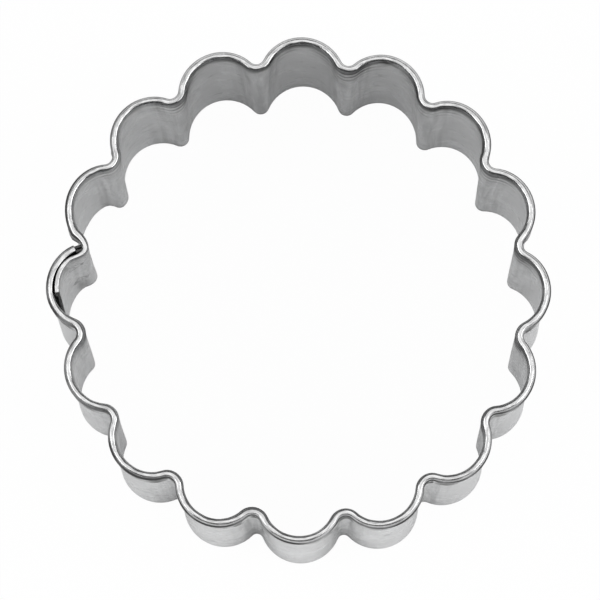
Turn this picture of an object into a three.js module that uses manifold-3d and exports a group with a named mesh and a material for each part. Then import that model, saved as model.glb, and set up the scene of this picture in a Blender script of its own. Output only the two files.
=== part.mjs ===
// A fluted round pastry cutter, bent from one strip of thin steel. It stands on its cutting edge with
// its folded rim on top. The strip's ends lap in the flute on the -X side, held by two spot welds.
// Millimetres, +Z up, origin on the table under the middle of the ring.

import * as THREE from 'three';
import { mergeVertices } from 'three/addons/utils/BufferGeometryUtils.js';
import Module from 'manifold-3d';

// The ring: its sizes are those of the rim's outer face
const RING_X = 57; // across opposite crests, through the lap
const RING_Y = 58.3; // across opposite crests the other way, as the bent ring isn't quite round
const HEIGHT = 25.4;
const FLUTE_COUNT = 16;
const FLUTE_DEPTH = 2.81; // from a crest in to a notch
const NOTCH_RADIUS = 0.93;

// The strip: plain below, and folded over outwards along its top edge
const SHEET = 0.28;
const RIM_THICKNESS = 0.9; // wall, fold and folded leg together
const HEM_DEPTH = 3; // from the top of the rim down to the raw edge of the folded leg

// The lap, where distances run along the rim's outer face
const LAP_GAP = 0.1; // between the outer end and the inner end's folded leg
const LAP_OUT = 0.3; // the outer end stands out by this share of the lap, the inner end in by the rest
const INNER_END = 0.65; // the inner end stops this far past the lap flute's crest
const TAB_PAST_NOTCH = 0.3; // the outer end stops this far past the flute's other notch
const TAB_LENGTH = 1.3; // the top of the fold is cut off for this length
const TAB_DROP = 0.5; // by this much, which leaves the fold open there

// The spot welds, fused through both ends one above the other
const WELD_DIAMETER = 2.4;
const WELD_FROM_CREST = 4.6; // from the lap flute's crest towards the outer end
const WELD_HEIGHTS = { upper: 18.2, lower: 7.6 };
const WELD_DIMPLE = 0.05; // how far the electrodes pressed each face in
const WELD_CLEARANCE = 0.02; // between a weld and the sheet around it

// How finely the round stretches are cut into flats
const CREST_STEPS = 5; // from a crest's middle to its end
const NOTCH_STEPS = 3; // from there to a notch's middle
const FOLD_STEPS = 2; // for each quarter of the fold
const WELD_SIDES = 28;

const wasm = await Module();
wasm.setup();

// Each flute is a crest arc that runs tangent into the notch arcs beside it.
const ringRadius = RING_X / 2;
const halfPitch = Math.PI / FLUTE_COUNT;
const notchOut = ringRadius - FLUTE_DEPTH + NOTCH_RADIUS;
const crestRadius = (notchOut ** 2 + ringRadius ** 2 - NOTCH_RADIUS ** 2
  - 2 * ringRadius * notchOut * Math.cos(halfPitch))
  / (2 * (ringRadius + NOTCH_RADIUS - notchOut * Math.cos(halfPitch)));
const crestCentre = new THREE.Vector2(ringRadius - crestRadius, 0);
const notchCentre = new THREE.Vector2(notchOut, 0).rotateAround(new THREE.Vector2(), halfPitch);
const crestTurn = notchCentre.clone().sub(crestCentre).angle();
const crestLength = crestRadius * crestTurn;
const notchLength = NOTCH_RADIUS * (crestTurn - halfPitch);
const halfFlute = crestLength + notchLength;
const ringLength = 2 * halfFlute * FLUTE_COUNT;

// The strip starts with its outer end and closes over itself with its inner end.
const stripStart = -halfFlute - TAB_PAST_NOTCH;
const stripEnd = ringLength + INNER_END;
const wallIn = RIM_THICKNESS - SHEET; // the wall's outer face stands in from the rim's by this much
const lapAtRim = RIM_THICKNESS + LAP_GAP; // between the two ends' outer faces
const lapAtFoot = SHEET + LAP_GAP;

// Where the rim's outer face passes at a distance along it: a point on the table and the way it faces.
// Distance 0 is the crest of the lap flute, and the strip runs anticlockwise seen from above.
function outerFace(distance) {
  const flute = Math.round(distance / (2 * halfFlute));
  const fromCrest = distance - flute * 2 * halfFlute;
  const reach = Math.abs(fromCrest);
  const side = Math.sign(fromCrest) || 1;
  const onCrest = reach <= crestLength;
  const turn = onCrest ? reach / crestRadius : crestTurn - (reach - crestLength) / NOTCH_RADIUS;
  const centre = onCrest ? crestCentre : notchCentre;
  const radius = onCrest ? crestRadius : -NOTCH_RADIUS;
  const facing = new THREE.Vector2(Math.cos(turn), Math.sin(turn));
  const point = centre.clone().addScaledVector(facing, radius);
  const stretch = RING_Y / RING_X;
  for (const vector of [point, facing]) {
    vector.y *= side;
    vector.rotateAround(new THREE.Vector2(), Math.PI + flute * 2 * halfPitch);
  }
  point.y *= stretch;
  facing.x *= stretch;
  return { point, facing: facing.normalize() };
}

// How far the strip stands out from the ring's own line, as a share of the lap
function lapShare(distance) {
  const lapNotch = ringLength - halfFlute;
  const outer = 1 - THREE.MathUtils.smoothstep(distance, INNER_END, halfFlute);
  const inner = THREE.MathUtils.smoothstep(distance, lapNotch - halfFlute, lapNotch - notchLength);
  return outer * LAP_OUT - inner * (1 - LAP_OUT);
}

// A place on the strip: its rim's outer top corner, with the ways in, up and along.
// Below the rim the lapped ends lean together, because the inner end's folded leg keeps them apart above.
function place(distance) {
  const { point, facing } = outerFace(distance);
  const share = lapShare(distance);
  const lean = share * (lapAtRim - lapAtFoot) / HEIGHT;
  const out = new THREE.Vector3(facing.x, facing.y, 0);
  const rim = new THREE.Vector3(point.x, point.y, HEIGHT).addScaledVector(out, share * lapAtRim);
  const up = new THREE.Vector3(0, 0, 1).addScaledVector(out, lean).normalize();
  const along = new THREE.Vector3(-facing.y, facing.x, 0);
  return { rim, up, along, inward: new THREE.Vector3().crossVectors(up, along) };
}

// The strip's route, with a step at the two ends given and at every flat of the round stretches between.
class StripRoute extends THREE.Curve {
  constructor(start, end) {
    super();
    const steps = [];
    for (let crest = -1; crest <= FLUTE_COUNT + 1; crest += 1) {
      const middle = crest * 2 * halfFlute;
      for (let i = -CREST_STEPS; i <= CREST_STEPS; i += 1) {
        steps.push(middle + crestLength * i / CREST_STEPS);
      }
      for (let i = 1; i < 2 * NOTCH_STEPS; i += 1) {
        steps.push(middle + crestLength + notchLength * i / NOTCH_STEPS);
      }
    }
    const shortest = notchLength / NOTCH_STEPS / 4;
    const between = steps.filter((step) => step > start + shortest && step < end - shortest);
    this.places = [start, ...between, end].map(place);
    this.steps = this.places.length - 1;
  }

  getPointAt(share) {
    return this.places[Math.round(share * this.steps)].rim.clone();
  }

  computeFrenetFrames() {
    return {
      tangents: this.places.map(({ along }) => along),
      normals: this.places.map(({ inward }) => inward),
      binormals: this.places.map(({ up }) => up),
    };
  }
}

// A section drawn inwards and up from the rim's outer top corner, carried along the strip's route.
function sweep(section, start, end) {
  const route = new StripRoute(start, end);
  return new THREE.ExtrudeGeometry(section, {
    steps: route.steps,
    extrudePath: route,
    curveSegments: FOLD_STEPS,
  });
}

function sectionOf(corners) {
  return new THREE.Shape(corners.map(([inward, up]) => new THREE.Vector2(inward, up)));
}

// A closed geometry as a solid that can be cut, and back again
function solid(geometry) {
  const bare = geometry.clone();
  bare.deleteAttribute('normal');
  bare.deleteAttribute('uv');
  const merged = mergeVertices(bare);
  return new wasm.Manifold(new wasm.Mesh({
    numProp: 3,
    vertProperties: new Float32Array(merged.attributes.position.array),
    triVerts: new Uint32Array(merged.index.array),
  }));
}

function geometryOf(shape) {
  const { vertProperties, triVerts } = shape.getMesh();
  const geometry = new THREE.BufferGeometry();
  geometry.setAttribute('position', new THREE.BufferAttribute(vertProperties, 3));
  geometry.setIndex(new THREE.BufferAttribute(triVerts, 1));
  geometry.computeVertexNormals();
  return geometry;
}

// The strip's section: a plain wall, folded round outwards at the top into a short leg
function stripSection() {
  const fold = RIM_THICKNESS / 2;
  const section = new THREE.Shape();
  section.moveTo(0, -HEM_DEPTH);
  section.lineTo(SHEET, -HEM_DEPTH);
  section.lineTo(SHEET, -fold);
  section.absarc(fold, -fold, fold - SHEET, Math.PI, 0, true);
  section.lineTo(wallIn, -HEIGHT);
  section.lineTo(RIM_THICKNESS, -HEIGHT);
  section.lineTo(RIM_THICKNESS, -fold);
  section.absarc(fold, -fold, fold, 0, Math.PI, false);
  section.closePath();
  return section;
}

// What is trimmed off the outer end: the top of the fold, so that the wall and the leg are left as a low tab
function tabTrim() {
  const margin = LAP_GAP / 2;
  return sweep(sectionOf([
    [-margin, margin],
    [-margin, -TAB_DROP],
    [RIM_THICKNESS + margin, -TAB_DROP],
    [RIM_THICKNESS + margin, margin],
  ]), stripStart - margin, stripStart + TAB_LENGTH);
}

// A round bar of the given radius through both ends of the strip at a weld
function weldBar(height, radius) {
  const { rim, up, inward } = place(-WELD_FROM_CREST);
  const bar = new THREE.CylinderGeometry(radius, radius, 4 * lapAtRim, WELD_SIDES);
  bar.applyQuaternion(new THREE.Quaternion().setFromUnitVectors(new THREE.Vector3(0, 1, 0), inward));
  const depth = wallIn + lapAtRim / 2;
  const middle = rim.clone().addScaledVector(up, height - HEIGHT).addScaledVector(inward, depth);
  bar.translate(middle.x, middle.y, middle.z);
  return solid(bar);
}

// The two lapped walls and the room between them, less the dimples, from above the welds to the foot
function weldDepth() {
  const top = WELD_HEIGHTS.upper + WELD_DIAMETER;
  const lapAtTop = lapAtFoot + (lapAtRim - lapAtFoot) * top / HEIGHT;
  return solid(sweep(sectionOf([
    [wallIn + WELD_DIMPLE, top - HEIGHT],
    [wallIn + WELD_DIMPLE, -HEIGHT],
    [RIM_THICKNESS + lapAtFoot - WELD_DIMPLE, -HEIGHT],
    [RIM_THICKNESS + lapAtTop - WELD_DIMPLE, top - HEIGHT],
  ]), -WELD_FROM_CREST - WELD_DIAMETER, -WELD_FROM_CREST + WELD_DIAMETER));
}

const cutter = new THREE.Group();

function add(name, shape, finish) {
  const mesh = new THREE.Mesh(geometryOf(shape), new THREE.MeshStandardMaterial(finish));
  mesh.name = name;
  cutter.add(mesh);
}

let strip = solid(sweep(stripSection(), stripStart, stripEnd)).subtract(solid(tabTrim()));
for (const [level, height] of Object.entries(WELD_HEIGHTS)) {
  strip = strip.subtract(weldBar(height, WELD_DIAMETER / 2 + WELD_CLEARANCE));
  const weld = weldBar(height, WELD_DIAMETER / 2).intersect(weldDepth());
  add(`${level}_spot_weld`, weld, { color: 0xa9a8a5, roughness: 0.45, metalness: 1 });
}
add('cutter_strip', strip, { color: 0xc6c8ca, roughness: 0.28, metalness: 1 });

export default cutter;
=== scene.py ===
import math

import bmesh
import bpy
from mathutils import Matrix, Vector, noise


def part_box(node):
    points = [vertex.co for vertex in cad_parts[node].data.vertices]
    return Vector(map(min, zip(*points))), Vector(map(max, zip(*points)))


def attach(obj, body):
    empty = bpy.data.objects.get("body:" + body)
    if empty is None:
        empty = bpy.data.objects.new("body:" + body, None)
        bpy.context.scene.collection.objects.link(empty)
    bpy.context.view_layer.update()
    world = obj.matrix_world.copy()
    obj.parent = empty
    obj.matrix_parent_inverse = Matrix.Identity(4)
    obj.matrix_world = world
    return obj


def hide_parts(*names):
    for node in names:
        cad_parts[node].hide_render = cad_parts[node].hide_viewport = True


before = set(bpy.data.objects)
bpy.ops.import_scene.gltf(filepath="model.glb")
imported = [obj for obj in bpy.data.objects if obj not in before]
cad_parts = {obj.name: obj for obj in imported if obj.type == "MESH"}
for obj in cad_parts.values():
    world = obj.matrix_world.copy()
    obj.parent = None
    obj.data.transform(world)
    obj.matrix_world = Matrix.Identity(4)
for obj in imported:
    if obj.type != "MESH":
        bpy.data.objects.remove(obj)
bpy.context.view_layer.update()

# The camera looks down into the ring from the near side, a little off its middle line.
# Its place and lens follow the photograph's view of the rim and of the cutting edge.
CAMERA_TURN = math.radians(2.821)
CAMERA_RISE = math.radians(81.073)
CAMERA_ROLL = math.radians(-2.419)
CAMERA_DISTANCE = 0.68
CAMERA_AIM = Vector((-0.00017, 0.00266, 0.0))
CAMERA_LENS = 347.42
SENSOR_WIDTH = 36.0

camera_data = bpy.data.cameras.new("camera")
camera_data.sensor_width = SENSOR_WIDTH
camera_data.lens = CAMERA_LENS
camera = bpy.data.objects.new("camera", camera_data)
camera.matrix_world = (
    Matrix.Translation(CAMERA_AIM)
    @ Matrix.Rotation(CAMERA_TURN, 4, "Z")
    @ Matrix.Rotation(math.pi / 2 - CAMERA_RISE, 4, "X")
    @ Matrix.Rotation(CAMERA_ROLL, 4, "Z")
    @ Matrix.Translation((0.0, 0.0, CAMERA_DISTANCE))
)
bpy.context.scene.collection.objects.link(camera)
bpy.context.scene.camera = camera

# The strip is thin bright steel sheet. Its top edge is folded over outwards to a blunt rim, and its lower
# edge is left plain to cut with. It is pressed round a fluted former until its ends lap on the left side.
# Distances run along the rim's outer face from the lapped flute's crest, anticlockwise seen from above.
STRIP_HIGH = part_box("cutter_strip")[1]
INSIDE_BOX = 0.000002  # the rim's top stays this far inside the CAD part's box
HEIGHT = STRIP_HIGH.z - INSIDE_BOX
RING_RADIUS = STRIP_HIGH.x
STRETCH = STRIP_HIGH.y / STRIP_HIGH.x
FLUTES = 16
FLUTE_DEPTH = 0.00281
NOTCH_RADIUS = 0.00093
FOOT_FLUTE_DEPTH = 0.00291
FOOT_NOTCH_RADIUS = 0.0001
ROUND_NOTCH_WIDTH = 0.0016
LAP_NOTCH_ROUND = 0.6
KNOCKED_NOTCH_ROUND = 0.5
SHEET = 0.00028
INNER_END = 0.0007
TAB_PAST_NOTCH = 0.0003
TAB_LENGTH = 0.0009
TAB_DROP = 0.001

half_pitch = math.pi / FLUTES


def flute_arcs(depth, notch_radius):
    """A flute's crest arc and the notch arc beside it: their radii and centres, and the crest's half turn."""
    notch_out = RING_RADIUS - depth + notch_radius
    across = notch_out * math.cos(half_pitch)
    crest_radius = (notch_out**2 + RING_RADIUS**2 - notch_radius**2 - 2 * RING_RADIUS * across) / (
        2 * (RING_RADIUS + notch_radius - across)
    )
    crest_centre = Vector((RING_RADIUS - crest_radius, 0.0, 0.0))
    notch_centre = Matrix.Rotation(half_pitch, 3, "Z") @ Vector((notch_out, 0.0, 0.0))
    turn = math.atan2(notch_centre.y, notch_centre.x - crest_centre.x)
    return crest_radius, crest_centre, notch_radius, notch_centre, turn


rim_arcs = flute_arcs(FLUTE_DEPTH, NOTCH_RADIUS)
foot_arcs = flute_arcs(FOOT_FLUTE_DEPTH, FOOT_NOTCH_RADIUS)
crest_length = rim_arcs[0] * rim_arcs[4]
notch_length = NOTCH_RADIUS * (rim_arcs[4] - half_pitch)
half_flute = crest_length + notch_length
ring_length = 2 * half_flute * FLUTES
strip_start = -half_flute - TAB_PAST_NOTCH
strip_end = ring_length + INNER_END
lap_notch = ring_length - half_flute


def smooth_share(value, low, high):
    share = min(max((value - low) / (high - low), 0.0), 1.0)
    return share * share * (3 - 2 * share)


def bell(offset, width):
    return math.exp(-((offset / width) ** 2))


def from_to(low, high, share):
    return low + (high - low) * share


def on_arcs(reach, arcs):
    """A point of a flute and the way it faces, at a reach along the rim from the crest's middle."""
    crest_radius, crest_centre, notch_radius, notch_centre, turn = arcs
    if reach <= crest_length:
        bent = turn * reach / crest_length
        facing = Vector((math.cos(bent), math.sin(bent), 0.0))
        return crest_centre + facing * crest_radius, facing
    bent = turn - (turn - half_pitch) * (reach - crest_length) / notch_length
    facing = Vector((math.cos(bent), math.sin(bent), 0.0))
    return notch_centre - facing * notch_radius, facing


def outer_face(distance, height=1.0, straight=0.0):
    """The strip's outer line at a distance along it and a share of its height: a point and the way it faces.
    Notches are sharper below the stiff rim. The outer end runs on past its crest, straight by a share."""
    flute = max(round(distance / (2 * half_flute)), 0)
    from_crest = distance - flute * 2 * half_flute
    reach = abs(from_crest)
    point, facing = on_arcs(reach, rim_arcs)
    foot_point, foot_facing = on_arcs(reach, foot_arcs)
    by_lap_notch = bell(math.remainder(distance + half_flute, ring_length), ROUND_NOTCH_WIDTH)
    by_knocked_notch = bell(math.remainder(distance + 3 * half_flute, ring_length), ROUND_NOTCH_WIDTH)
    rounded = max(height**2, LAP_NOTCH_ROUND * by_lap_notch, KNOCKED_NOTCH_ROUND * by_knocked_notch)
    point = foot_point.lerp(point, rounded)
    facing = foot_facing.lerp(facing, rounded).normalized()
    if distance < -crest_length:
        turn = reach / rim_arcs[0]
        unbent = Vector((math.cos(turn), math.sin(turn), 0.0))
        point = point.lerp(rim_arcs[1] + unbent * rim_arcs[0], straight)
        facing = facing.lerp(unbent, straight).normalized()
    for vector in (point, facing):
        vector.y *= math.copysign(1, from_crest)
        vector.rotate(Matrix.Rotation(math.pi + flute * 2 * half_pitch, 3, "Z"))
    point.y *= STRETCH
    facing.x *= STRETCH
    return point, facing.normalized()


def crest_share(distance):
    """1 on a crest and 0 in a notch."""
    point = outer_face(distance)[0]
    flat = math.hypot(point.x, point.y / STRETCH)
    return min(max((flat - RING_RADIUS + FLUTE_DEPTH) / FLUTE_DEPTH, 0.0), 1.0)


def notch_share(distance, fade):
    """1 in a notch and 0 on a crest. The smaller the fade, the further it reaches up the notch's sides."""
    return (1 - crest_share(distance)) ** fade


# The stiff rim kept the flutes a little shallow at the top, and the press bent the ring a little out of true.
# The electrodes squeezed the two lapped walls together round the spot welds, and a knock has bent
# the cutting edge outwards beside the second notch from the lap.
RIM_AT_CREST = 0.00093
RIM_AT_NOTCH = 0.00088
RIM_AT_OVERLAP = 0.00074
RIM_AT_TAB = 0.00084
RIM_AT_INNER_END = 0.00058
TAB_TAPER = 0.004
INNER_STEP = (-0.0016, 0.0002)  # from where to where beside the lap notch the inner end steps in


def lapped(distance):
    """How much of the outer end's and of the inner end's stand-off the strip has."""
    outer = 1 - smooth_share(distance, INNER_END, half_flute)
    inner = smooth_share(distance, lap_notch + INNER_STEP[0], lap_notch + INNER_STEP[1])
    return outer, inner


def rim_width(distance):
    outer, inner = lapped(distance)
    width = from_to(RIM_AT_NOTCH, RIM_AT_CREST, crest_share(distance))
    at_end = from_to(RIM_AT_OVERLAP, RIM_AT_TAB, smooth_share(-distance, 0.0, TAB_TAPER))
    width = from_to(width, at_end, outer)
    return from_to(width, RIM_AT_INNER_END, inner)


KNOCKED_OUT = 0.00046
KNOCK_FROM = ring_length - 3 * half_flute
KNOCK_CORNER = 0.0022
KNOCK_LENGTH = 0.0054
KNOCK_DIP = -0.3
KNOCK_EASE = 0.0006


def knocked(distance):
    """How far the knock has bent the cutting edge out: a sharp corner with a slope on each side."""
    past = distance - KNOCK_FROM
    rising = from_to(KNOCK_DIP, 1.0, past / KNOCK_CORNER)
    falling = (KNOCK_LENGTH - past) / (KNOCK_LENGTH - KNOCK_CORNER)
    return KNOCKED_OUT * max(min(rising, falling), 0.0) * smooth_share(past, 0.0, KNOCK_EASE)


OUTER_END_OUT = (0.00024, 0.00034)  # at the foot and at the rim, as in the next two pairs
INNER_END_IN = (0.00063, 0.00055)
INNER_NOTCH_IN = (0.00028, 0.00038)
PAST_LAP_NOTCH = 0.0005
WELD_FROM_CREST = 0.0046
WELD_HEIGHTS = {"upper_spot_weld": 0.0182, "lower_spot_weld": 0.0076}
SQUEEZE_WIDTH = 0.0017
SQUEEZED = {"upper_spot_weld": 0.00028, "lower_spot_weld": 0.00012}
OUTER_SQUEEZE = 0.3  # the outer wall's share of it
RIM_NOTCH_OUT = 0.00012
RIM_CREST_IN = 0.0001
LAP_NOTCH_IN = 0.00042
LAP_NOTCH_IN_WIDTH = 0.0007
LAP_NOTCH_IN_AT_FOOT = 0.6
WAVER = 0.00006
WAVER_SCALE = 130
WAVER_UPRIGHT = 0.4
WAVER_IN = 0.7
BENT_OUT = 0.000119
SLIPPED = 0.000098
SLIPPED_TOWARDS = 1.43
SLIPPED_TWICE = 0.000166
LAP_NOTCH_SLIP = (-0.00035, 0.0005)
LAP_NOTCH_SLIP_WIDTH = 0.0024


def bend(distance, inward, up):
    """A point of the flat blank, bent to its place on the ring."""
    height = up / HEIGHT
    point, facing = outer_face(distance, height, straight=height)
    outer, inner = lapped(distance)
    from_weld = distance + WELD_FROM_CREST
    for name, middle in WELD_HEIGHTS.items():
        squeezed = SQUEEZED[name] * bell(up - middle, SQUEEZE_WIDTH)
        inward += OUTER_SQUEEZE * squeezed * bell(from_weld, SQUEEZE_WIDTH)
        inward -= (1 - OUTER_SQUEEZE) * squeezed * bell(from_weld - ring_length, SQUEEZE_WIDTH)
    past_notch = smooth_share(distance, lap_notch + PAST_LAP_NOTCH, ring_length)
    stands_in = from_to(from_to(*INNER_NOTCH_IN, height), from_to(*INNER_END_IN, height), past_notch)
    point += facing * (outer * from_to(*OUTER_END_OUT, height) - inner * stands_in - inward)
    point += facing * knocked(distance) * (1 - height) ** 2
    shallow = from_to(RIM_NOTCH_OUT, -RIM_CREST_IN, crest_share(distance)) * height
    pressed_in = LAP_NOTCH_IN * bell(distance - lap_notch, LAP_NOTCH_IN_WIDTH)
    shallow -= from_to(LAP_NOTCH_IN_AT_FOOT, 1.0, height) * pressed_in
    waver = noise.noise(Vector((point.x, point.y, up * WAVER_UPRIGHT)) * WAVER_SCALE) - WAVER_IN
    point += point.normalized() * (shallow + WAVER * waver)
    angle = math.atan2(point.y, point.x)
    past_lap = math.remainder(angle - math.pi + half_pitch, 2 * math.pi) * RING_RADIUS
    slip = -SLIPPED * math.cos(angle - SLIPPED_TOWARDS) - SLIPPED_TWICE * math.sin(2 * angle)
    slip += from_to(*LAP_NOTCH_SLIP, height) * bell(past_lap, LAP_NOTCH_SLIP_WIDTH) * (1 - outer * height)
    point *= 1 - BENT_OUT * math.sin(2 * angle) / point.length
    point.rotate(Matrix.Rotation(slip / RING_RADIUS, 3, "Z"))
    point.z = up
    return point


# The fold has a broad shoulder on each side. Below it the wall is rippled in the notches on the inside,
# and the folded leg is buckled there on the outside, where it had to take up less length.
# The shoulders' runs and drops come in pairs, in a notch and on a crest.
CREST_STEPS = 10
NOTCH_STEPS = 5
END_STEP = 0.00006
LOWER_ROWS = 14
UPPER_ROWS = 22
UPPER_WALL = 0.0065
SHOULDER_ROWS = 7
TOP_ROWS = 3
LEG_ROWS = 6
HEM_DEPTH = 0.0027
INNER_POWER = 1.7
OUTER_POWER = 1.35
INNER_RUN = (0.00031, 0.00036)
INNER_DROP = (0.0006, 0.0008)
OUTER_RUN = (0.00028, 0.00042)
OUTER_DROP = (0.00045, 0.0007)
OUTER_BULGE = 0.00006
CRISPER_ENDS = 0.6
SHOULDER_PATTERN = (900, 0.0, 0.0)
SHOULDER_UNEVEN = 0.25
RIPPLE = 0.00016
RIPPLE_LENGTH = 0.0018
RIPPLE_REACH = 0.0034
FIRST_RIPPLE = 0.0004
RIPPLE_PATTERN = (110, 5.0, 0.0)
RIPPLE_MEAN = 0.75
RIPPLE_UNEVEN = 1.1
BUCKLE = 0.00018
BUCKLE_PATTERN = (700, 3.0, 1.0)
BUCKLED_OUT = 0.4
NOTCH_FADE = 0.7
LEG_FLARE = 0.00016
FLARE_FROM_NOTCH = 0.0017
FLARE_WIDTH = 0.0013
LEG_IN = 0.00006
LEG_IN_BY = 0.6

stops = [strip_start, strip_start + TAB_LENGTH, strip_end - END_STEP]
for flute in range(-1, FLUTES + 2):
    middle = flute * 2 * half_flute
    steps = [crest_length * i / CREST_STEPS for i in range(-CREST_STEPS, CREST_STEPS + 1)]
    steps += [crest_length + notch_length * i / NOTCH_STEPS for i in range(1, 2 * NOTCH_STEPS)]
    stops += [middle + step for step in steps if strip_start < middle + step < strip_end]
stops.append(strip_end)
stops.sort()


def patchy(pattern, distance, up=0.0):
    """An uneven value about 0, from a pattern's pace along the strip, its own layer and its pace upwards."""
    along, layer, across = pattern
    return noise.noise(Vector((distance * along, layer, up * across)))


def ripple_share(distance):
    """How strongly the wall rippled at this place, as no two notches came out alike."""
    return RIPPLE_MEAN + RIPPLE_UNEVEN * patchy(RIPPLE_PATTERN, distance)


def section(distance):
    """The strip's skin, from the cutting edge up the inside, over the fold and down the folded leg."""
    crest = crest_share(distance)
    width = rim_width(distance)
    uneven = 1 + SHOULDER_UNEVEN * patchy(SHOULDER_PATTERN, distance)
    outer_end, inner_end = lapped(distance)
    crisp = 1 - CRISPER_ENDS * max(outer_end, inner_end)
    inner_run = from_to(*INNER_RUN, crest) * uneven * crisp
    inner_drop = from_to(*INNER_DROP, crest) * uneven * crisp
    crisp = 1 - CRISPER_ENDS * inner_end
    outer_run = from_to(*OUTER_RUN, crest) * crisp
    outer_drop = from_to(*OUTER_DROP, crest) * crisp
    wall = HEIGHT - inner_drop
    heights = [(wall - UPPER_WALL) * i / LOWER_ROWS for i in range(LOWER_ROWS)]
    heights += [wall - UPPER_WALL * (1 - i / UPPER_ROWS) for i in range(UPPER_ROWS)]
    places = []
    in_notch = notch_share(distance, NOTCH_FADE)
    ripple_depth = RIPPLE * in_notch * ripple_share(distance)
    for up in heights:
        below = wall - up
        wave = math.cos(2 * math.pi * (below - FIRST_RIPPLE) / RIPPLE_LENGTH)
        places.append((width + ripple_depth * wave * math.exp(-below / RIPPLE_REACH), up))
    quarter = [math.pi / 2 * i / SHOULDER_ROWS for i in range(SHOULDER_ROWS + 1)]
    for turn in quarter:
        out, up = math.cos(turn) ** (2 / INNER_POWER), math.sin(turn) ** (2 / INNER_POWER)
        places.append((width - inner_run * (1 - out), HEIGHT - inner_drop * (1 - up)))
    bulge = OUTER_BULGE * crest * crisp
    for i in range(1, TOP_ROWS):
        places.append((from_to(width - inner_run, outer_run - bulge, i / TOP_ROWS), HEIGHT))
    for turn in reversed(quarter):
        out, up = math.cos(turn) ** (2 / OUTER_POWER), math.sin(turn) ** (2 / OUTER_POWER)
        places.append((outer_run * (1 - out) - bulge, HEIGHT - outer_drop * (1 - up)))
    flare = LEG_FLARE * bell(distance - lap_notch + FLARE_FROM_NOTCH, FLARE_WIDTH)
    for i in range(1, LEG_ROWS + 1):
        share = i / LEG_ROWS
        buckle = BUCKLE * in_notch * (patchy(BUCKLE_PATTERN, distance, share) + BUCKLED_OUT)
        stands_out = max(buckle, flare) * (1 - inner_end) * share
        flat_leg = from_to(-bulge, LEG_IN, smooth_share(share, 0.0, LEG_IN_BY))
        places.append((flat_leg - stands_out, from_to(HEIGHT - outer_drop, HEIGHT - HEM_DEPTH, share)))
    return places


sections = [section(stop) for stop in stops]
row_count = len(sections[0])
fold_first = LOWER_ROWS + UPPER_ROWS
fold_last = row_count - 1 - LEG_ROWS

# Dark and bright are painted on the sheet. Painted shade and painted dark reflections lie along both edges of
# the fold, under it, in the ripples, in the near notches, on the buckled leg, on the tab and on the cut end.
# The sheet is also scuffed beside the lap. Painted highlights lie on the backs of the ripples and over the
# top of the fold, bright from rubbing too.
# Rows are counted from the fold's first or last one, and each darkness is 0 on clean steel.
LEFT_SIDE = (0.008, 0.024)
RIPPLED_TO = (0.002, 0.0062)
RIPPLE_SHARP = 2.4
RIPPLE_FADE = 0.6
RIPPLE_WANDER = 0.0005
RIPPLE_WANDER_PATTERN = (240, 2.0, 0.0)


def below_fold(up):
    return max(HEIGHT - INNER_DROP[0] - up, 0.0)


def on_left_side(distance):
    return smooth_share(-outer_face(distance)[0].x, *LEFT_SIDE)


def rippled(distance, up, share=0.0):
    """How far a place on the wall is down in a ripple, or up on one if the share is a half."""
    below = below_fold(up)
    wander = RIPPLE_WANDER * patchy(RIPPLE_WANDER_PATTERN, distance)
    waved = below - FIRST_RIPPLE + wander - share * RIPPLE_LENGTH
    depth = (0.5 + 0.5 * math.cos(2 * math.pi * waved / RIPPLE_LENGTH)) ** RIPPLE_SHARP
    depth *= 1 - smooth_share(below, *RIPPLED_TO)
    return depth * notch_share(distance, RIPPLE_FADE) * max(ripple_share(distance), 0.0)


# Painted dark reflection along the fold's outer edge: fainter on the far side, where more light falls, and
# wider on the left.
OUTER_EDGE_DARK = 1.4
OUTER_EDGE_ROWS = (2.6, 4.2)
OUTER_EDGE_ON_LEG = 1.2
OUTER_EDGE_ON_FAR = 0.5
FAR_SIDE = (0.01, 0.027)
WIDER_ON_LEFT = 1.5
# Painted shade in the buckles of the folded leg, in the notches.
LEG_SHADE_PATTERN = (900, 7.0, 500)
FINE_LEG_SHADE_PATTERN = (2200, 3.0, 900)
FINE_LEG_SHADE = 0.6
LEG_SHADE = 3
LEG_SHADE_MEAN = 1.2
LEG_SHADE_MOST = 1.4
LEG_SHADE_FADE = 0.5


def outer_dark(distance, row, up, uneven):
    """The painted dark reflection along the fold's outer edge, and the painted shade in the buckles of the
    leg below it.
    """
    past_edge = fold_last - row
    wider = WIDER_ON_LEFT * on_left_side(distance)
    faded = smooth_share(past_edge, OUTER_EDGE_ROWS[0] + wider, OUTER_EDGE_ROWS[1] + wider)
    edge = 1 - max(faded, smooth_share(-past_edge, 0.0, OUTER_EDGE_ON_LEG))
    edge *= from_to(1.0, OUTER_EDGE_ON_FAR, smooth_share(outer_face(distance)[0].y, *FAR_SIDE))
    line = OUTER_EDGE_DARK * edge * uneven
    if row <= fold_last:
        return max(line, 0.0)
    leg_shade = patchy(LEG_SHADE_PATTERN, distance, up) + FINE_LEG_SHADE * patchy(FINE_LEG_SHADE_PATTERN, distance, up)
    buckled = min(max(LEG_SHADE * leg_shade + LEG_SHADE_MEAN, 0.0), LEG_SHADE_MOST) * notch_share(distance, LEG_SHADE_FADE)
    return max(line, buckled)


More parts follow.
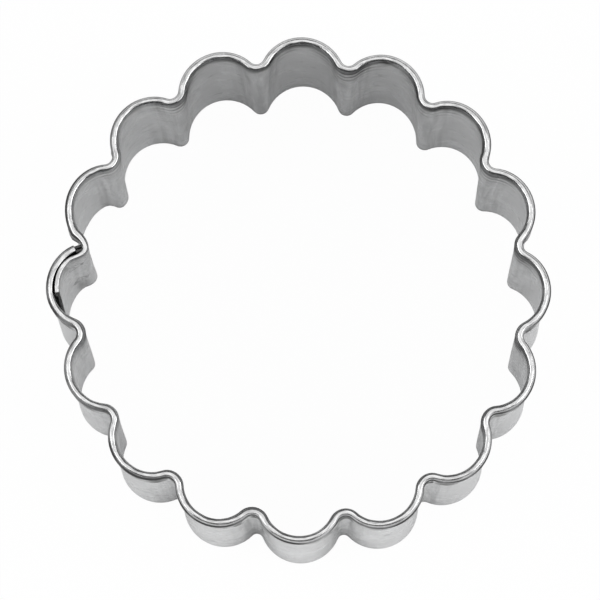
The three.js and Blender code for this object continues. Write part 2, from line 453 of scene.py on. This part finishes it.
# Painted shade: under the fold with a ragged lower edge, down in the ripples, and in a wedge below the fold
# in the notches on the near side.
RAGGED_PATTERN = (800, 0.0, 300)
FINE_RAGGED_PATTERN = (2600, 4.0, 300)
RAGGED_MEAN = 0.75
RAGGED = 0.9
FINE_RAGGED = 0.4
RAGGED_LEAST = 0.1
CALM_PAST_LAP = 0.3
CALM_PAST_LAP_FLUTES = (3, 6)  # counted in half flutes
CALM_BEFORE_LAP = 0.5
CALM_BEFORE_LAP_FLUTES = (5, 7)
UNDER_FOLD_DARK = 0.9
UNDER_FOLD_DOWN = 0.0024
RIPPLE_DARK = 1.9
NEAR_SIDE = (0.016, 0.024)
NEAR_WEDGE_DARK = 1.2
NEAR_WEDGE_DOWN = 0.0062
KNOCK_LINE_DARK = 0.5
KNOCK_LINE_WIDTH = 0.0004
SCUFF_DARK = 0.6
SCUFF_FROM_CREST = 0.0034
SCUFF_WIDTH = 0.0022
SCUFF_DOWN = (0.002, 0.007)
FOOT_SCUFF_PAST_NOTCH = 0.0017
FOOT_SCUFF_WIDTH = 0.0009
FOOT_SCUFF_UP = 0.004
FOOT_SCUFF_HEIGHT = 0.0035


def wall_dark(distance, up, uneven):
    """The painted shade under the fold, in the ripples and in the near notches, and the marks by knock and
    lap.
    """
    below = below_fold(up)
    ragged = RAGGED_MEAN + RAGGED * patchy(RAGGED_PATTERN, distance, up)
    ragged += FINE_RAGGED * patchy(FINE_RAGGED_PATTERN, distance, up)
    reach = max(ragged, RAGGED_LEAST)
    calm = from_to(CALM_PAST_LAP, 1.0, smooth_share(distance / half_flute, *CALM_PAST_LAP_FLUTES))
    before_lap = (ring_length - distance) / half_flute
    calm *= from_to(CALM_BEFORE_LAP, 1.0, smooth_share(before_lap, *CALM_BEFORE_LAP_FLUTES))
    under_fold = UNDER_FOLD_DARK * calm * (1 - smooth_share(below, 0.0, UNDER_FOLD_DOWN * reach))
    ripples = RIPPLE_DARK * calm * uneven * rippled(distance, up)
    near_notch = smooth_share(-outer_face(distance)[0].y, *NEAR_SIDE) * notch_share(distance, NOTCH_FADE)
    near_wedge = NEAR_WEDGE_DARK * near_notch * (1 - smooth_share(below, 0.0, NEAR_WEDGE_DOWN * reach))
    knock_line = bell(distance - KNOCK_FROM - KNOCK_CORNER, KNOCK_LINE_WIDTH) * (1 - up / HEIGHT)
    scuff = bell(distance - ring_length + SCUFF_FROM_CREST, SCUFF_WIDTH)
    scuff *= 1 - smooth_share(below, *SCUFF_DOWN)
    foot_scuff = bell(distance - lap_notch - FOOT_SCUFF_PAST_NOTCH, FOOT_SCUFF_WIDTH)
    foot_scuff *= bell(up - FOOT_SCUFF_UP, FOOT_SCUFF_HEIGHT)
    scuffed = SCUFF_DARK * max(scuff, foot_scuff) * max(ragged, 0.0)
    return max(under_fold, ripples, near_wedge, KNOCK_LINE_DARK * knock_line, scuffed)


# The tab and the inner end's cut face are painted dark, as painted shade of the lap's crevice.
CUT_END_DARK = 1.4
CUT_FACE = 0.00001
TAB_DARK_PAST = 0.0001
TAB_DARK_DOWN = 0.004
UNEVEN_PATTERN = (420, 0.0, 300)
UNEVEN_MEAN = 0.9
UNEVEN = 0.6
OUTER_MARKED_ROWS = 5
SPECKLE_PATTERN = (1500, 8.0, 0.6)
SPECKLE = 3.5
# Painted shade along the fold's inner edge, weaker on the left side.
INNER_EDGE_DARK = 1.05
INNER_EDGE_ROWS = (0.6 * SHOULDER_ROWS, SHOULDER_ROWS)
INNER_EDGE_ON_LEFT = 0.45


def darkness(distance, row, up):
    """How dark a place on the strip's skin is painted: painted shade and painted dark reflections, and some
    real marks.
    """
    on_tab = distance < strip_start + TAB_LENGTH + TAB_DARK_PAST and up > HEIGHT - TAB_DARK_DOWN
    if on_tab or distance > strip_end - CUT_FACE:
        return CUT_END_DARK
    uneven = UNEVEN_MEAN + UNEVEN * patchy(UNEVEN_PATTERN, distance, up)
    if row >= fold_last - OUTER_MARKED_ROWS:
        return outer_dark(distance, row, up, uneven)
    if row >= fold_last - SHOULDER_ROWS:
        return max(SPECKLE * patchy(SPECKLE_PATTERN, distance, row), 0.0)
    if row > fold_first:
        edge = 1 - smooth_share(row - fold_first, *INNER_EDGE_ROWS)
        return INNER_EDGE_DARK * edge * uneven * from_to(1.0, INNER_EDGE_ON_LEFT, on_left_side(distance))
    return wall_dark(distance, up, uneven)


# Painted highlights on the backs of the ripples and over the top of the fold.
RIPPLE_HIGHLIGHT = 0.9
INNER_BRIGHT_ROWS = (2, SHOULDER_ROWS)
OUTER_BRIGHT_ROWS = (2.8, 5.0)


def brightness(distance, row, up):
    """How far the sheet is painted brighter: painted highlights on the backs of the ripples and over the top
    of the fold, bright there from rubbing too.
    """
    if LOWER_ROWS < row < fold_first:
        return RIPPLE_HIGHLIGHT * rippled(distance, up, share=0.5)
    from_inside = smooth_share(row - fold_first, *INNER_BRIGHT_ROWS)
    outer_rows = fold_last - row - WIDER_ON_LEFT * on_left_side(distance)
    return min(from_inside, smooth_share(outer_rows, *OUTER_BRIGHT_ROWS))


# The blank is cut as a flat grid and then bent, and the top of its fold is trimmed off at the tab.
# It is skin only, so the sheet's thickness is put on it afterwards, and its sheared edges are rounded.
EDGE_ROUND = 0.00004
EDGE_ANGLE = math.radians(60)

strip_mesh = bmesh.new()
bmesh.ops.create_grid(strip_mesh, x_segments=len(stops) - 1, y_segments=row_count - 1, size=0.5)
flat = strip_mesh.loops.layers.uv.new("flat_blank")
worked = strip_mesh.verts.layers.float.new("worked")
highlight_and_rubbing = strip_mesh.verts.layers.float.new("highlight_and_rubbing")
stretched = strip_mesh.verts.layers.float.new("stretched")
shade_and_marks = strip_mesh.verts.layers.float.new("shade_and_marks")
across = [0.0]
for (inward, up), (next_inward, next_up) in zip(sections[0], sections[0][1:]):
    across.append(across[-1] + math.hypot(next_inward - inward, next_up - up))
trimmed = []
for vert in strip_mesh.verts:
    column = round((vert.co.x + 0.5) * (len(stops) - 1))
    row = round((vert.co.y + 0.5) * (row_count - 1))
    distance = stops[column]
    inward, up = sections[column][row]
    for loop in vert.link_loops:
        loop[flat].uv = (distance, across[row])
    vert[worked] = 1 - crest_share(distance)
    # The skin's points carry the painted highlights and the painted shade, with the real marks.
    vert[highlight_and_rubbing] = brightness(distance, row, up)
    vert[stretched] = bell(row - fold_last + 0.5 * SHOULDER_ROWS, 0.5 * SHOULDER_ROWS)
    vert[shade_and_marks] = darkness(distance, row, up)
    vert.co = bend(distance, inward, up)
    if up > HEIGHT - TAB_DROP and distance < strip_start + TAB_LENGTH - CUT_FACE:
        trimmed.append(vert)
bmesh.ops.delete(strip_mesh, geom=trimmed, context="VERTS")
bmesh.ops.recalc_face_normals(strip_mesh, faces=strip_mesh.faces)
for face in strip_mesh.faces:
    face.smooth = True


def new_piece(name, shape):
    mesh = bpy.data.meshes.new(name)
    shape.to_mesh(mesh)
    shape.free()
    piece = bpy.data.objects.new(name, mesh)
    bpy.context.scene.collection.objects.link(piece)
    return piece


strip = new_piece("bent_strip", strip_mesh)
thickness = strip.modifiers.new("sheet", "SOLIDIFY")
thickness.thickness = SHEET
thickness.offset = -1.0
thickness.use_even_offset = True
edges = strip.modifiers.new("sheared_edges", "BEVEL")
edges.width = EDGE_ROUND
edges.segments = 2
edges.limit_method = "ANGLE"
edges.angle_limit = EDGE_ANGLE
strip.modifiers.new("flat_faces", "WEIGHTED_NORMAL")

# The steel is rolled bright, so its grain runs along the blank. It is blotched and a little stained, has
# press marks in the notches, and darkens towards the cutting edge. Counts are per metre along and across.
STEEL_DARK = (0.38, 0.385, 0.39, 1.0)
STEEL_BRIGHT = (0.78, 0.785, 0.79, 1.0)
STEEL_HIGHLIGHT_AND_RUB_DARK = (0.34, 0.34, 0.345, 1.0)
STEEL_HIGHLIGHT_AND_RUB = (0.84, 0.84, 0.84, 1.0)
STEEL_SHADE_AND_MARKS = (0.07, 0.07, 0.07, 1.0)
STEEL_SHADE_AND_MARKS_SHINE = (0.48, 0.48, 0.48, 1.0)  # what the painted shade and the dark marks still give back of a slanting light
STEEL_CLEAN = (1.0, 1.0, 1.0, 1.0)
SHADE_AND_MARK_STRENGTH = 0.75
DARK_FOOT = 0.0009
GRAIN_DEPTH = 0.000008


def add_node(tree, kind, **values):
    node = tree.nodes.new(kind)
    for name, value in values.items():
        if name in node.inputs:
            node.inputs[name].default_value = value
        else:
            setattr(node, name, value)
    return node


def blank_noise(tree, along, across, detail, warp=0.0):
    """Noise laid on the flat blank."""
    blank = add_node(tree, "ShaderNodeUVMap", uv_map="flat_blank")
    laid = add_node(tree, "ShaderNodeMapping", Scale=(along, across, 1.0))
    field = add_node(tree, "ShaderNodeTexNoise", Scale=1.0, Detail=detail, Roughness=0.6, Distortion=warp)
    tree.links.new(blank.outputs["UV"], laid.inputs["Vector"])
    tree.links.new(laid.outputs["Vector"], field.inputs["Vector"])
    return field.outputs["Fac"]


def attribute(tree, name):
    return add_node(tree, "ShaderNodeAttribute", attribute_name=name).outputs["Fac"]


def combine(tree, operation, first, second):
    node = add_node(tree, "ShaderNodeMath", operation=operation)
    for socket, value in zip(node.inputs, (first, second)):
        if isinstance(value, float):
            socket.default_value = value
        else:
            tree.links.new(value, socket)
    return node.outputs[0]


def spread(tree, value, low, high, to_low, to_high):
    node = add_node(tree, "ShaderNodeMapRange")
    for name, number in (("From Min", low), ("From Max", high), ("To Min", to_low), ("To Max", to_high)):
        node.inputs[name].default_value = number
    tree.links.new(value, node.inputs["Value"])
    return node.outputs["Result"]


def shaded(tree, tone, dark, bright):
    ramp = add_node(tree, "ShaderNodeValToRGB")
    ramp.color_ramp.elements[0].color = dark
    ramp.color_ramp.elements[1].color = bright
    tree.links.new(tone, ramp.inputs["Fac"])
    return ramp.outputs["Color"]


def blend(tree, share, first, second):
    """One colour turning into another. The mix node's two colours are its sockets 6 and 7."""
    node = add_node(tree, "ShaderNodeMix", data_type="RGBA")
    tree.links.new(share, node.inputs["Factor"])
    for socket, colour in ((node.inputs[6], first), (node.inputs[7], second)):
        if isinstance(colour, tuple):
            socket.default_value = colour
        else:
            tree.links.new(colour, socket)
    return node.outputs[2]


steel = bpy.data.materials.new("bright_strip_steel")
steel.use_nodes = True
tree = steel.node_tree
shader = tree.nodes["Principled BSDF"]
shader.inputs["Metallic"].default_value = 1.0

grain = blank_noise(tree, along=260.0, across=1700.0, detail=3.0)
fine_grain = blank_noise(tree, along=700.0, across=9000.0, detail=2.0)
blotches = blank_noise(tree, along=210.0, across=160.0, detail=2.5, warp=0.8)
stains = blank_noise(tree, along=330.0, across=420.0, detail=3.0, warp=1.2)
press_marks = blank_noise(tree, along=1300.0, across=60.0, detail=3.0, warp=0.3)
in_notches = spread(tree, attribute(tree, "worked"), 0.1, 0.6, 0.0, 1.0)
marks = combine(tree, "MULTIPLY", spread(tree, press_marks, 0.4, 0.68, 0.0, 1.0), in_notches)
marks = combine(tree, "MULTIPLY", marks, 0.6)

blank = add_node(tree, "ShaderNodeUVMap", uv_map="flat_blank")
from_edge = add_node(tree, "ShaderNodeSeparateXYZ")
tree.links.new(blank.outputs["UV"], from_edge.inputs[0])
rolled = spread(tree, grain, 0.3, 0.7, 0.13, 0.18)
tone = combine(tree, "ADD", spread(tree, blotches, 0.3, 0.7, 0.14, 0.59), rolled)
tone = combine(tree, "SUBTRACT", tone, marks)
tone = combine(tree, "SUBTRACT", tone, spread(tree, stains, 0.6, 0.74, 0.0, 0.6))
tone = combine(tree, "SUBTRACT", tone, spread(tree, from_edge.outputs["Y"], 0.0, DARK_FOOT, 0.4, 0.0))
colour = shaded(tree, tone, STEEL_DARK, STEEL_BRIGHT)

# Painted shade and painted dark reflections, with the real marks and the welds' darkening, darken the colour
# and the glancing shine alike.
shade_and_mark_mix = combine(tree, "MULTIPLY", attribute(tree, "shade_and_marks"), SHADE_AND_MARK_STRENGTH)
colour = blend(tree, shade_and_mark_mix, colour, STEEL_SHADE_AND_MARKS)
tree.links.new(blend(tree, shade_and_mark_mix, STEEL_CLEAN, STEEL_SHADE_AND_MARKS_SHINE), shader.inputs["Specular Tint"])

# Painted highlights, streaked like worn steel, on the backs of the ripples and over the fold's top.
long_rubs = blank_noise(tree, along=420.0, across=15000.0, detail=2.0)
short_rubs = blank_noise(tree, along=900.0, across=2600.0, detail=3.0)
rubs = spread(tree, combine(tree, "ADD", long_rubs, short_rubs), 0.75, 1.15, 0.0, 1.0)
highlight_and_rub = shaded(tree, rubs, STEEL_HIGHLIGHT_AND_RUB_DARK, STEEL_HIGHLIGHT_AND_RUB)
colour = blend(tree, attribute(tree, "highlight_and_rubbing"), colour, highlight_and_rub)
tree.links.new(colour, shader.inputs["Base Color"])

fine_satin = spread(tree, fine_grain, 0.3, 0.7, -0.03, 0.05)
satin = combine(tree, "ADD", spread(tree, blotches, 0.3, 0.7, 0.19, 0.29), fine_satin)
satin = combine(tree, "ADD", satin, combine(tree, "MULTIPLY", attribute(tree, "stretched"), 0.06))
tree.links.new(satin, shader.inputs["Roughness"])

grooves = combine(tree, "MULTIPLY", grain, 0.3)
grooves = combine(tree, "ADD", grooves, combine(tree, "MULTIPLY", fine_grain, 0.12))
grooves = combine(tree, "SUBTRACT", grooves, marks)
bump = add_node(tree, "ShaderNodeBump", Strength=0.4, Distance=GRAIN_DEPTH)
tree.links.new(grooves, bump.inputs["Height"])
tree.links.new(bump.outputs["Normal"], shader.inputs["Normal"])
strip.data.materials.append(steel)
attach(strip, "root")
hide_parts("cutter_strip")

# Two spot welds hold the lapped ends. Each is a small round patch where the two sheets are fused, dished
# in the middle by the electrode, with a low swollen edge, and duller than the sheet around it.
WELD_RADIUS = 0.0012
WELD_MIDDLE = 0.05
WELD_RINGS = ((0.0, 0.000006), (0.5, 0.000008), (0.75, 0.000022), (0.88, 0.000034), (1.0, -0.00003))
WELD_SIDES = 40
WELD_DARK = (0.2, 0.6)
WELD_DULLER = 0.15

fused = steel.copy()
fused.name = "fused_steel"
tree = fused.node_tree
shader = tree.nodes["Principled BSDF"]
satin = shader.inputs["Roughness"].links[0].from_socket
tree.links.new(combine(tree, "ADD", satin, WELD_DULLER), shader.inputs["Roughness"])

for name, middle in WELD_HEIGHTS.items():
    weld_mesh = bmesh.new()
    flat = weld_mesh.loops.layers.uv.new("flat_blank")
    shade_and_marks = weld_mesh.verts.layers.float.new("shade_and_marks")
    laid_flat = {}
    rings = []
    for start, side in ((-WELD_FROM_CREST, -1), (ring_length - WELD_FROM_CREST, 1)):
        for share, proud in WELD_RINGS if side < 0 else WELD_RINGS[::-1]:
            radius = max(share, WELD_MIDDLE) * WELD_RADIUS
            round_edge = bmesh.ops.create_circle(
                weld_mesh, cap_ends=share == 0.0, segments=WELD_SIDES, radius=radius
            )["verts"]
            for vert in round_edge:
                distance, up = start + vert.co.x, middle + vert.co.y
                laid_flat[vert] = (distance, up)
                vert[shade_and_marks] = from_to(*WELD_DARK, share**4)
                width = rim_width(distance)
                inward = width - SHEET - proud if side < 0 else width + proud
                vert.co = bend(distance, inward, up)
            rings.append([edge for edge in weld_mesh.edges if all(v in round_edge for v in edge.verts)])
    for first, second in zip(rings, rings[1:]):
        bmesh.ops.bridge_loops(weld_mesh, edges=first + second)
    bmesh.ops.recalc_face_normals(weld_mesh, faces=weld_mesh.faces)
    for face in weld_mesh.faces:
        face.smooth = True
        for loop in face.loops:
            loop[flat].uv = laid_flat[loop.vert]
    weld = new_piece("fused_" + name, weld_mesh)
    weld.data.materials.append(fused)
    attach(weld, "root")
    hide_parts(name)

# The floor is a plain white card. The camera sees it nearly white all over, with a faint shadow,
# and the steel mirrors it much as the lights leave it.
CARD_RADIUS = 0.3
CARD_SIDES = 96
CARD_PAPER = (0.92, 0.92, 0.92, 1.0)
CARD_WHITE = 0.97
CARD_GLOW_ON_METAL = 0.05

card_mesh = bmesh.new()
bmesh.ops.create_circle(card_mesh, cap_ends=True, segments=CARD_SIDES, radius=CARD_RADIUS)
card = new_piece("white_card", card_mesh)
card_white = bpy.data.materials.new("white_card")
card_white.use_nodes = True
tree = card_white.node_tree
tree.nodes.clear()
light_path = tree.nodes.new("ShaderNodeLightPath")
seen = combine(tree, "ADD",
               combine(tree, "MULTIPLY", light_path.outputs["Is Camera Ray"], CARD_WHITE),
               combine(tree, "MULTIPLY", light_path.outputs["Is Glossy Ray"], CARD_GLOW_ON_METAL))
paper = add_node(tree, "ShaderNodeBsdfDiffuse", Color=CARD_PAPER)
glow = add_node(tree, "ShaderNodeEmission")
mix = tree.nodes.new("ShaderNodeMixShader")
output = tree.nodes.new("ShaderNodeOutputMaterial")
tree.links.new(seen, mix.inputs[0])
tree.links.new(paper.outputs[0], mix.inputs[1])
tree.links.new(glow.outputs[0], mix.inputs[2])
tree.links.new(mix.outputs[0], output.inputs["Surface"])
card.data.materials.append(card_white)

# Plain soft studio light: a large soft box on each side, the right one a little stronger, a soft ceiling
# that darkens towards the horizon, and a weak light from the far side. The backdrop is white to the camera.
BOX_WIDTH = 0.85
BOX_DEPTH = 0.58
LEFT_POWER = 4.15
RIGHT_POWER = 4.65
BOX_PLACE = Vector((0.62, -0.12, 0.39))
CEILING = (1.15, 1.15, 1.15, 1.0)
CEILING_FROM = 0.92  # how steeply a direction points up, 1 being straight up
HORIZON = (0.03, 0.03, 0.03, 1.0)
HORIZON_TO = 0.84
BACK_LIGHT = 0.5  # full at the second of each pair, in directions to the far side and up
BACK_LIGHT_FAR = (0.15, 0.55)
BACK_LIGHT_UP = (0.3, 0.5)
BACKDROP = (1.0, 1.0, 1.0, 1.0)
BACKDROP_ON_METAL = 0.06

for side, power in ((-1, LEFT_POWER), (1, RIGHT_POWER)):
    lamp_data = bpy.data.lights.new("soft_box", "AREA")
    lamp_data.shape = "RECTANGLE"
    lamp_data.size = BOX_WIDTH
    lamp_data.size_y = BOX_DEPTH
    lamp_data.energy = power
    lamp = bpy.data.objects.new("soft_box", lamp_data)
    lamp.location = Vector((BOX_PLACE.x * side, BOX_PLACE.y, BOX_PLACE.z))
    lamp.rotation_euler = (-lamp.location).to_track_quat("-Z", "Y").to_euler()
    bpy.context.scene.collection.objects.link(lamp)

world = bpy.data.worlds.new("studio")
world.use_nodes = True
bpy.context.scene.world = world
tree = world.node_tree
tree.nodes.clear()
light_path = tree.nodes.new("ShaderNodeLightPath")
direction = tree.nodes.new("ShaderNodeTexCoord")
split = tree.nodes.new("ShaderNodeSeparateXYZ")
ceiling = tree.nodes.new("ShaderNodeValToRGB")
ceiling.color_ramp.elements[0].position = HORIZON_TO
ceiling.color_ramp.elements[0].color = HORIZON
ceiling.color_ramp.elements[1].position = CEILING_FROM
ceiling.color_ramp.elements[1].color = CEILING
back_light = combine(tree, "MULTIPLY",
                     spread(tree, split.outputs["Y"], *BACK_LIGHT_FAR, 0.0, BACK_LIGHT),
                     spread(tree, split.outputs["Z"], *BACK_LIGHT_UP, 0.0, 1.0))
room = tree.nodes.new("ShaderNodeBackground")
backdrop = add_node(tree, "ShaderNodeBackground", Color=BACKDROP)
mix = tree.nodes.new("ShaderNodeMixShader")
output = tree.nodes.new("ShaderNodeOutputWorld")
tree.links.new(direction.outputs["Generated"], split.inputs[0])
tree.links.new(split.outputs["Z"], ceiling.inputs[0])
tree.links.new(combine(tree, "ADD", ceiling.outputs[0], back_light), room.inputs["Color"])
seen = combine(tree, "ADD", light_path.outputs["Is Camera Ray"],
               combine(tree, "MULTIPLY", light_path.outputs["Is Glossy Ray"], BACKDROP_ON_METAL))
tree.links.new(seen, mix.inputs[0])
tree.links.new(room.outputs[0], mix.inputs[1])
tree.links.new(backdrop.outputs[0], mix.inputs[2])
tree.links.new(mix.outputs[0], output.inputs["Surface"])

bpy.context.scene.view_settings.view_transform = "Standard"
